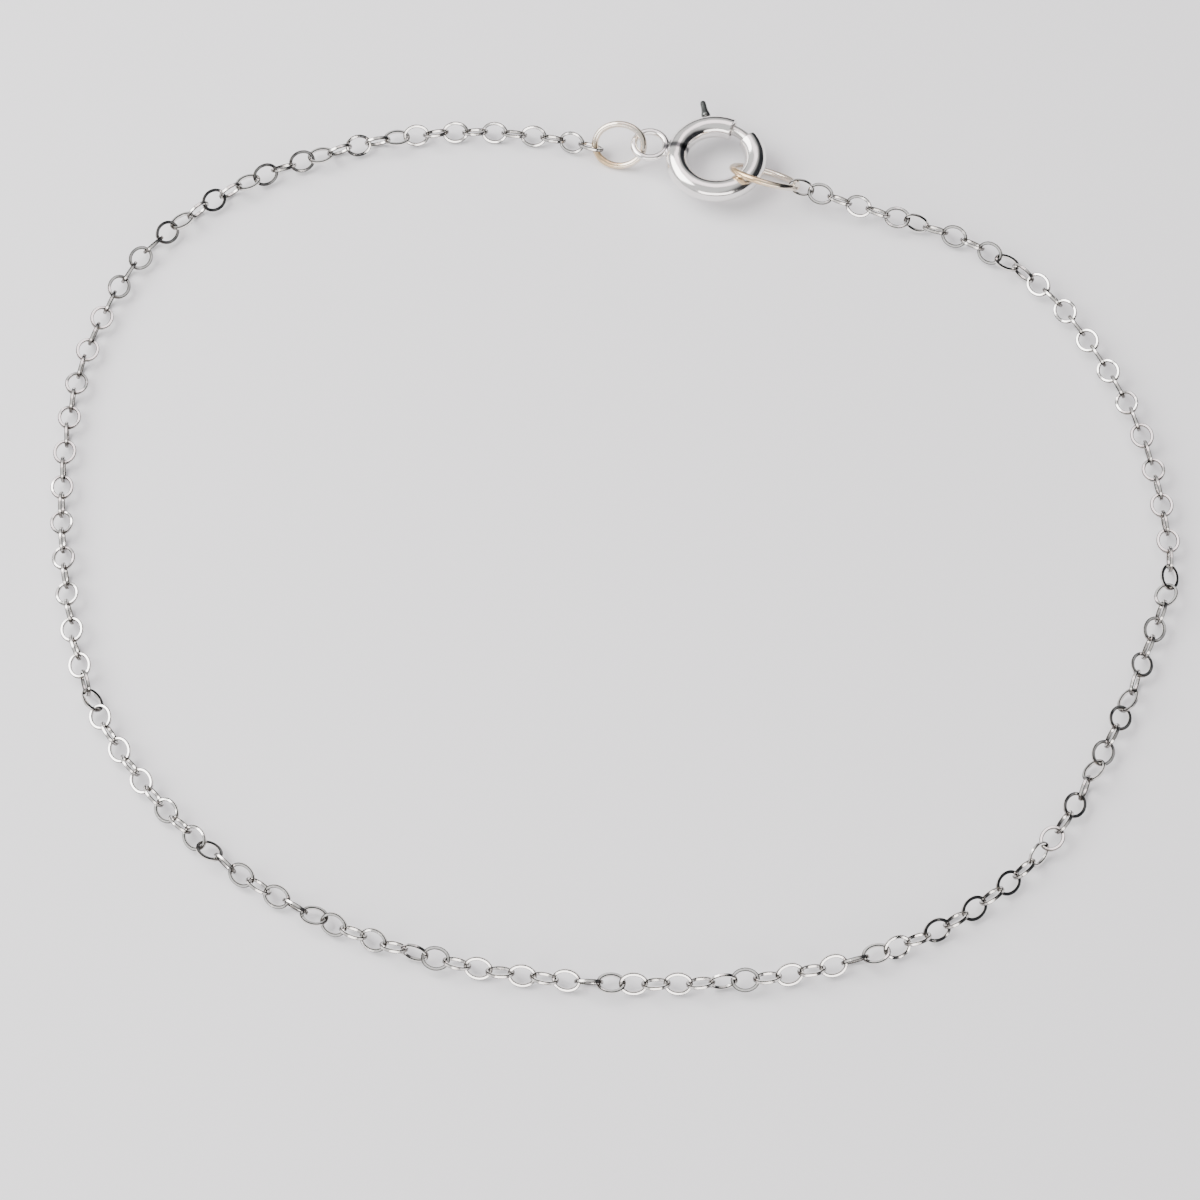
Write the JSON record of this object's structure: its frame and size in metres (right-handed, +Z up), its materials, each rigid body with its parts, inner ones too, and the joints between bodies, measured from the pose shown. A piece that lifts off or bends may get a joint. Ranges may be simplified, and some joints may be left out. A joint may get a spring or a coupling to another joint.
{
  "type": "chain bracelet",
  "caption": "Fine bracelet of flat oval cable links, closed by a spring-ring clasp with a thumb knob and lying in a loose oval.",
  "frame": {"origin": "middle of the bracelet's bounding box, at the height of the surface it lies on", "axes": "+Z up, across the flat loop. +X along the loop's longest width, towards the chain half with the larger end ring. The clasp is at the back of the loop, on the +Y side"},
  "size_m": [0.0585, 0.0534, 0.0025],
  "materials": {
    "chain_metal": "polished silver with fine wear",
    "clasp_metal": "polished silver",
    "bolt_metal": "polished silver, slightly worn",
    "ring_metal": "polished silver"
  },
  "bodies": {
    "bracelet": {"chain_left": "chain_metal", "chain_right": "chain_metal", "clasp_ring": "clasp_metal", "jump_ring": "ring_metal", "end_ring": "ring_metal"},
    "bolt": {"clasp_bolt": "bolt_metal"}
  },
  "joints": [
    {"name": "bolt_slide", "type": "hinge", "parent": "bracelet", "child": "bolt", "pos_m": [0.0056, 0.0228, 0.00122], "axis": [0, 0, 1], "range_deg": [0, 40], "stiffness_Nm_per_rad": 0.001, "springref_deg": -17.19}
  ]
}
